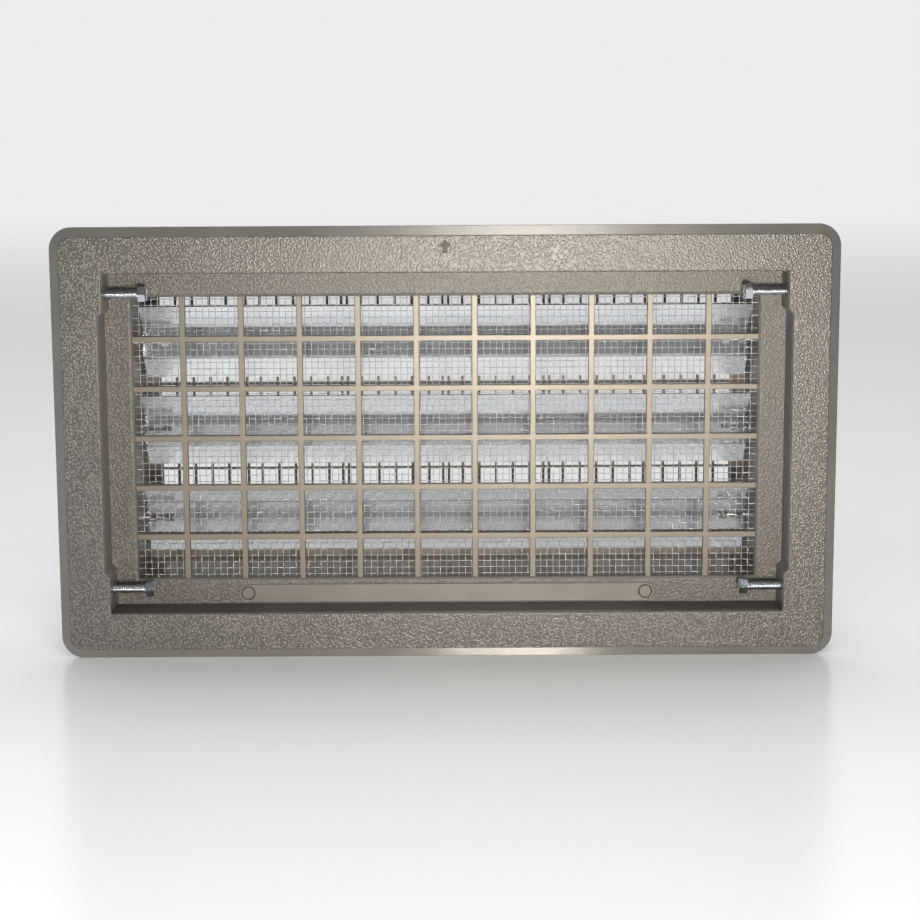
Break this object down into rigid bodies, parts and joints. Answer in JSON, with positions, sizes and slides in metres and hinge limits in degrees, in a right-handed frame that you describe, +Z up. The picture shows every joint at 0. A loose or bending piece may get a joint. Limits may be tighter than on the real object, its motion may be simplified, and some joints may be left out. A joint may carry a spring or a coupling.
{
  "type": "foundation vent",
  "caption": "Louvred foundation vent: flanged moulded frame with a deep recess and grille, wire screen, linked sheet louvres worked by a strip coil, bar guard and corner jack screws.",
  "frame": {"origin": "middle of the flange, in the plane of the wall face that the flange's rim meets", "axes": "+X to the right seen from outside, +Y into the wall, +Z up"},
  "size_m": [0.4382, 0.0924, 0.2444],
  "materials": {
    "moulded_front": "grained bronze-brown moulding with a satin sheen",
    "moulded_box": "smooth dark brown moulding",
    "wire_cloth": "galvanised wire",
    "blade_sheet": "bright mill sheet",
    "pin_steel": "bright drawn wire",
    "link_metal": "plated pressing",
    "coil_strip": "two-metal strip, warm grey",
    "zinc_fastener": "bright zinc plate"
  },
  "bodies": {
    "frame": {"front_frame": "moulded_front", "insect_screen": "wire_cloth", "rear_housing": "moulded_box", "bimetal_coil": "coil_strip", "housing_screws": "zinc_fastener"},
    "louvre_bottom": {"louvre_blade_bottom": "blade_sheet", "crank_bottom": "link_metal", "pivot_pin_bottom_left": "pin_steel", "pivot_pin_bottom_right": "pin_steel"},
    "louvre_middle": {"louvre_blade_middle": "blade_sheet", "crank_middle": "link_metal", "pivot_pin_middle_left": "pin_steel", "pivot_pin_middle_right": "pin_steel"},
    "louvre_top": {"louvre_blade_top": "blade_sheet", "crank_top": "link_metal", "pivot_pin_top_left": "pin_steel", "pivot_pin_top_right": "pin_steel"},
    "link": {"link_bar": "link_metal"},
    "jack_screw_bottom_left": {"jack_screw_bottom_left": "zinc_fastener"},
    "jack_screw_bottom_right": {"jack_screw_bottom_right": "zinc_fastener"},
    "jack_screw_top_left": {"jack_screw_top_left": "zinc_fastener"},
    "jack_screw_top_right": {"jack_screw_top_right": "zinc_fastener"}
  },
  "joints": [
    {"name": "louvre_middle_turn", "type": "hinge", "parent": "frame", "child": "louvre_middle", "pos_m": [0, 0.055, 0], "axis": [1, 0, 0], "range_deg": [-32, 50], "stiffness_Nm_per_rad": 0.22, "deforming": ["bimetal_coil"]},
    {"name": "louvre_top_turn", "type": "hinge", "parent": "frame", "child": "louvre_top", "pos_m": [0, 0.055, 0.052], "axis": [1, 0, 0], "range_deg": [-32, 50]},
    {"name": "louvre_bottom_turn", "type": "hinge", "parent": "frame", "child": "louvre_bottom", "pos_m": [0, 0.055, -0.052], "axis": [1, 0, 0], "range_deg": [-32, 50]},
    {"name": "link_swing", "type": "hinge", "parent": "louvre_middle", "child": "link", "pos_m": [-0.1864, 0.06883, -0.00219], "axis": [1, 0, 0], "range_deg": [-50, 32]},
    {"name": "jack_screw_bottom_left_travel", "type": "slide", "parent": "frame", "child": "jack_screw_bottom_left", "axis": [-1, 0, 0], "range_m": [-0.004, 0.0182]},
    {"name": "jack_screw_bottom_right_travel", "type": "slide", "parent": "frame", "child": "jack_screw_bottom_right", "axis": [1, 0, 0], "range_m": [-0.004, 0.0182]},
    {"name": "jack_screw_top_left_travel", "type": "slide", "parent": "frame", "child": "jack_screw_top_left", "axis": [-1, 0, 0], "range_m": [-0.004, 0.0182]},
    {"name": "jack_screw_top_right_travel", "type": "slide", "parent": "frame", "child": "jack_screw_top_right", "axis": [1, 0, 0], "range_m": [-0.004, 0.0182]}
  ],
  "couplings": [
    {"joint": "louvre_top_turn", "follows": "louvre_middle_turn", "ratio": 1},
    {"joint": "louvre_bottom_turn", "follows": "louvre_middle_turn", "ratio": 1},
    {"joint": "link_swing", "follows": "louvre_middle_turn", "ratio": -1}
  ]
}
